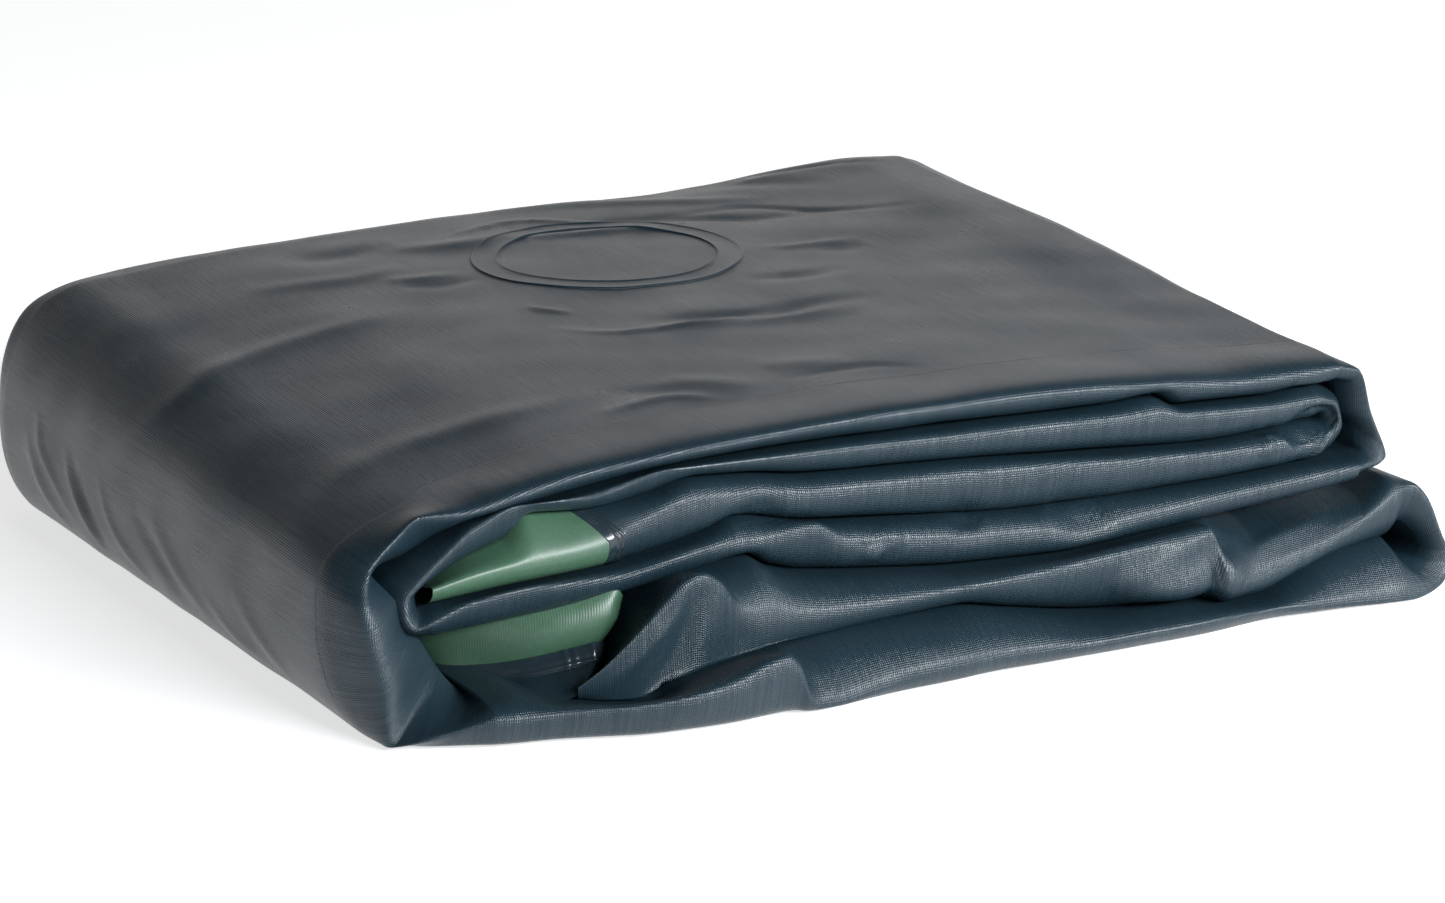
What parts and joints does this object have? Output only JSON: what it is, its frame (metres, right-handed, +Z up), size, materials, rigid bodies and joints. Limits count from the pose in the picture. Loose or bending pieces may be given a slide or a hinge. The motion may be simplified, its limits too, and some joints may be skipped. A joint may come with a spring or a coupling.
{
  "type": "folded spa cover",
  "caption": "Round spa cover of slate coated fabric with a pale green lining, its sides folded in to make a long strip that is stacked in soft folds for storage.",
  "frame": {"origin": "middle of the base, on the surface that the folded cover lies on", "axes": "+X along the folds, from the spine turn to the right-hand turns; +Y from the front, where the skirt ends show, to the back; +Z up"},
  "size_m": [0.5, 0.47, 0.1254],
  "materials": {
    "slate_skin": "coated polyester, semi-gloss",
    "green_lining": "coated polyester, semi-gloss",
    "hem_vinyl": "welded vinyl band, glossy",
    "foam": "expanded polyethylene foam sheet",
    "webbing": "woven polypropylene webbing",
    "buckle": "moulded acetal"
  },
  "bodies": {
    "root": {"buckle_plug_1": "buckle", "buckle_plug_2": "buckle", "buckle_plug_3": "buckle", "buckle_plug_4": "buckle", "buckle_strap_1": "webbing", "buckle_strap_2": "webbing", "buckle_strap_3": "webbing", "buckle_strap_4": "webbing", "fold_1_top_foam": "foam", "fold_1_top_lining": "green_lining", "fold_1_top_skin": "slate_skin", "fold_2_foam": "foam", "fold_2_lining": "green_lining", "fold_2_skin": "slate_skin", "fold_3_foam": "foam", "fold_3_lining": "green_lining", "fold_3_skin": "slate_skin", "fold_4_foam": "foam", "fold_4_lining": "green_lining", "fold_4_skin": "slate_skin", "fold_5_foam": "foam", "fold_5_lining": "green_lining", "fold_5_skin": "slate_skin", "fold_6_base_foam": "foam", "fold_6_base_lining": "green_lining", "fold_6_base_skin": "slate_skin", "hem_band_lower": "hem_vinyl", "hem_band_upper": "hem_vinyl", "inner_left_turn": "slate_skin", "inner_right_turn": "slate_skin", "lower_right_turn": "slate_skin", "round_weld": "hem_vinyl", "skirt_end_lower": "green_lining", "skirt_end_upper": "green_lining", "spine_turn": "slate_skin", "upper_right_turn": "slate_skin"}
  },
  "joints": []
}
